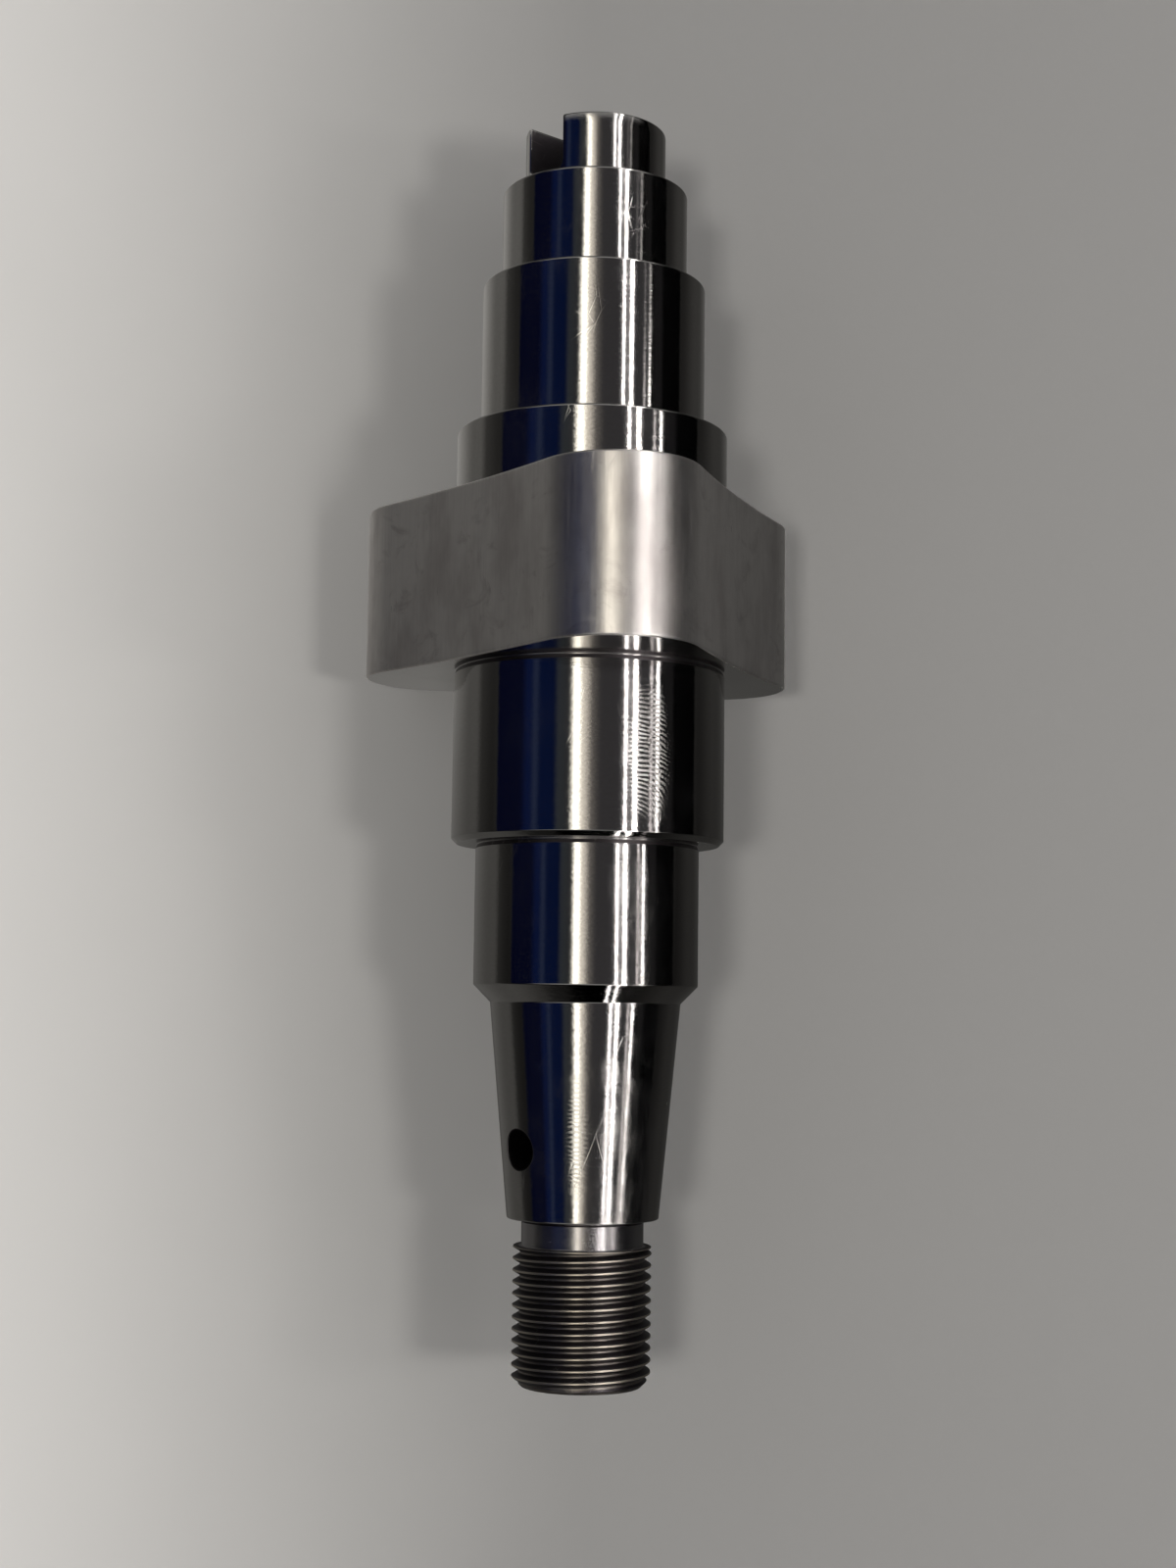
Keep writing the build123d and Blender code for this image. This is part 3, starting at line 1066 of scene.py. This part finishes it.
def painted_bench_reflection_level(tree, x, y):
    """How bright the bench glows to glossy rays at a place, as a painted reflection with painted
    shadow near the shaft.
    """
    facing = node(tree, "ShaderNodeLayerWeight").outputs["Facing"]
    steep = maths(tree, "SUBTRACT", 1.0, facing)
    added = maths(tree, "MULTIPLY", remap(tree, steep, *MIRRORED_STEEPLY),
                  remap(tree, y, *STEEP_ALONG_SHAFT))
    level = maths(tree, "ADD", remap(tree, steep, *MIRRORED_AT_ANGLE), added)
    for place, ramp in ((x, PAINTED_SHADOW_RIGHT_OF_SHAFT), (y, MIRRORED_ALONG_SHAFT), (x, MIRRORED_FAR_LEFT),
                        (maths(tree, "ABSOLUTE", x), PAINTED_SHADOW_UNDER_SHAFT)):
        level = maths(tree, "MULTIPLY", level, remap(tree, place, *ramp))
    return level


def bench(z):
    """Pale bench top, its colour lighter towards the left as a painted light falloff. To glossy
    rays it glows instead, a painted reflection, so steel mirrors it darker.
    """
    bm = bmesh.new()
    bmesh.ops.create_grid(bm, x_segments=1, y_segments=1, size=BENCH_HALF_SIZE)
    mesh = bpy.data.meshes.new("bench_top")
    bm.to_mesh(mesh)
    bm.free()
    top = placed_object("bench_top", mesh)
    top.location.z = z
    made, tree, paint = new_material("pale_bench_painted_falloff_and_reflection")
    place = object_place(tree)
    x, y, _ = separate(tree, place)
    uneven = maths(tree, "MULTIPLY", noise(tree, place, 25.0, 3.0), BENCH_UNEVENNESS)
    # Painted light falloff: the paint runs from light at the left to dark at the right, with random
    # unevenness
    side = maths(tree, "ADD", remap(tree, x, *PAINTED_FALLOFF_LEFT_TO_RIGHT), uneven, clamp=True)
    link(tree, mix_colour(tree, side, BENCH_LIT_LEFT, BENCH_SHADED_RIGHT), paint.inputs["Base Color"])
    paint.inputs["Roughness"].default_value = BENCH_ROUGHNESS
    # Painted reflection: to glossy rays the bench is an emission, darkened near the shaft as
    # painted shadow
    mirrored = node(tree, "ShaderNodeEmission")
    mirrored.inputs["Color"].default_value = PAINTED_BENCH_REFLECTION
    link(tree, painted_bench_reflection_level(tree, x, y), mirrored.inputs["Strength"])
    path = node(tree, "ShaderNodeLightPath")
    chosen = node(tree, "ShaderNodeMixShader")
    link(tree, path.outputs["Is Glossy Ray"], chosen.inputs[0])
    link(tree, paint.outputs[0], chosen.inputs[1])
    link(tree, mirrored.outputs[0], chosen.inputs[2])
    link(tree, chosen.outputs[0], tree.nodes["Material Output"].inputs["Surface"])
    mesh.materials.append(made)


# Bands overhead that polished steel mirrors, by turn from straight up:
# middle, half width and soft edge in degrees, colour, strength
ROOM_BANDS = (
    (-80.0, 22.0, 8.0, (0.11, 0.17, 1.0), 0.015),
    (-50.0, 14.0, 8.0, (0.06, 0.19, 1.0), 0.036),
    (-54.0, 1.5, 7.0, (0.6, 0.75, 1.0), 0.03),
    (-31.5, 4.5, 5.0, (0.8, 0.9, 1.0), 0.045),
    (-19.3, 3.0, 5.5, (1.0, 0.96, 0.84), 2.6),
    (-15.0, 5.0, 9.0, (1.0, 0.92, 0.79), 0.95),
    (-10.0, 6.0, 12.0, (1.0, 0.9, 0.78), 0.16),
    (12.5, 39.0, 5.0, (1.0, 0.96, 1.0), 0.05),
    (26.0, 7.0, 5.0, (1.0, 0.93, 0.92), 0.2),
    (60.0, 5.5, 5.0, (1.0, 0.95, 1.0), 0.012),
)
# Thin strip lamps, in the same form, which run on to the ends of the room
STRIP_LAMPS = (
    (21.9, 0.65, 1.0, (1.0, 0.95, 0.94), 9.5),
    (30.2, 1.1, 1.2, (1.0, 0.96, 0.93), 11.5),
)
# Strip lamps, in the same form, which end overhead
SHORT_LAMPS = (
    (44.5, 0.6, 1.0, (1.0, 0.92, 0.91), 2.5),
    (50.4, 0.7, 1.0, (1.0, 0.95, 0.92), 8.0),
)
FILL_LIGHT = (0.44, 0.44, 0.45)
END_WALL = (0.34, 0.335, 0.33)

# Bands and lamps seem to lean inwards towards the room's ends: from where, and how much
LEAN_FROM = 0.4
LEAN = 0.9
# More ramps, over the direction of a ray: the bands give way to the end walls, which rise from
# dark; the short lamps end overhead; and the fill light comes mostly from the sides
BANDS_END = (0.65, 0.45)
WALL_RISES = (0.08, 0.35)
SHORT_LAMPS_END = (0.29, 0.25, 0.1, 1.0)
FILL_FROM_SIDES = (0.3, 0.8, 0.3, 2.0)


def bands(tree, turn, rows):
    """Sum of the bands in rows, by the turn of the ray."""
    total = None
    for middle, half, soft, colour, strength in rows:
        off = maths(tree, "ABSOLUTE", maths(tree, "SUBTRACT", turn, middle))
        lit = remap(tree, off, half + soft / 2, max(half - soft / 2, 0.0), 0.0, strength)
        band = scaled(tree, colour, lit)
        total = band if total is None else vector_maths(tree, "ADD", total, band)
    return total


def room():
    """World: bands overhead for steel to mirror, soft fill for the rest, pale to the camera."""
    world = bpy.data.worlds.new("workshop_room")
    bpy.context.scene.world = world
    world.use_nodes = True
    tree = world.node_tree
    x, y, z = separate(tree, node(tree, "ShaderNodeTexCoord").outputs["Generated"])
    along = maths(tree, "ABSOLUTE", y)
    lean = maths(tree, "MULTIPLY", maths(tree, "SUBTRACT", along, LEAN_FROM, clamp=True), LEAN)
    turn = maths(tree, "DEGREES", maths(tree, "ARCTAN2", x, maths(tree, "ADD", z, lean)))
    end_wall = scaled(tree, END_WALL, remap(tree, z, *WALL_RISES))
    overhead = mix_colour(tree, remap(tree, along, *BANDS_END), end_wall,
                          bands(tree, turn, ROOM_BANDS))
    short = scaled(tree, bands(tree, turn, SHORT_LAMPS), remap(tree, y, *SHORT_LAMPS_END))
    strips = vector_maths(tree, "ADD", short, bands(tree, turn, STRIP_LAMPS))
    mirrored = vector_maths(tree, "ADD", overhead, strips)
    across = maths(tree, "ABSOLUTE", x)
    fill = scaled(tree, FILL_LIGHT, remap(tree, across, *FILL_FROM_SIDES))
    path = node(tree, "ShaderNodeLightPath")
    seen = mix_colour(tree, path.outputs["Is Glossy Ray"], fill, mirrored)
    link(tree, mix_colour(tree, path.outputs["Is Camera Ray"], seen, PALE_BACKGROUND),
         tree.nodes["Background"].inputs["Color"])


LAMPS = (
    # name, direction to the lamp, width, length, share of the plain light level
    ("left_lamp", (-0.40, -0.10, 1.0), 0.12, 0.12, 0.36),
    ("key_lamp", (0.50, -0.14, 1.0), 0.12, 0.12, 0.22),
    ("side_lamp", (1.15, -0.10, 1.0), 0.10, 0.12, 0.05),
)
LAMP_DISTANCE = 0.9
LAMP_COLOUR = (1.0, 0.98, 0.95)


def lamps():
    for name, direction, width, length, level in LAMPS:
        light = bpy.data.lights.new(name, "AREA")
        light.shape = "RECTANGLE"
        light.size, light.size_y = width, length
        way = Vector(direction).normalized()
        light.energy = level * math.pi * math.pi * LAMP_DISTANCE ** 2 / way.z
        light.color = LAMP_COLOUR
        lamp = placed_object(name, light)
        lamp.location = way * LAMP_DISTANCE
        lamp.rotation_euler = way.to_track_quat("Z", "Y").to_euler()
        lamp.visible_glossy = False


# The camera's place in degrees and millimetres, its turns in degrees, and its lens
CAMERA_TURN = -9.0
CAMERA_BACK = -33.15
CAMERA_DISTANCE = 295.6
CAMERA_PITCH = 5.774
CAMERA_ROLL = 0.7305
CAMERA_LENS = 68.56
SENSOR_WIDTH = 36.0
# In metres
NEAREST_SEEN = 0.01


def camera():
    lens = bpy.data.cameras.new("camera")
    lens.lens = CAMERA_LENS
    lens.sensor_width = SENSOR_WIDTH
    lens.sensor_fit = "HORIZONTAL"
    lens.clip_start = NEAREST_SEEN
    eye = placed_object("camera", lens)
    pose = Matrix.Translation(on_axis(CAMERA_TURN, CAMERA_DISTANCE, CAMERA_BACK))
    for angle, axis in ((CAMERA_TURN, "Y"), (CAMERA_PITCH, "X"), (CAMERA_ROLL, "Z")):
        pose = pose @ Matrix.Rotation(math.radians(angle), 4, axis)
    eye.matrix_world = pose
    bpy.context.scene.camera = eye


# ---------------------------------------------------------------- put together
piece = shaft()
for finish in finishes():
    piece.data.materials.append(finish)
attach(piece, "root")
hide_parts(NODE)

bench(low.z)
room()
lamps()
camera()
bpy.context.scene.view_settings.view_transform = "Standard"
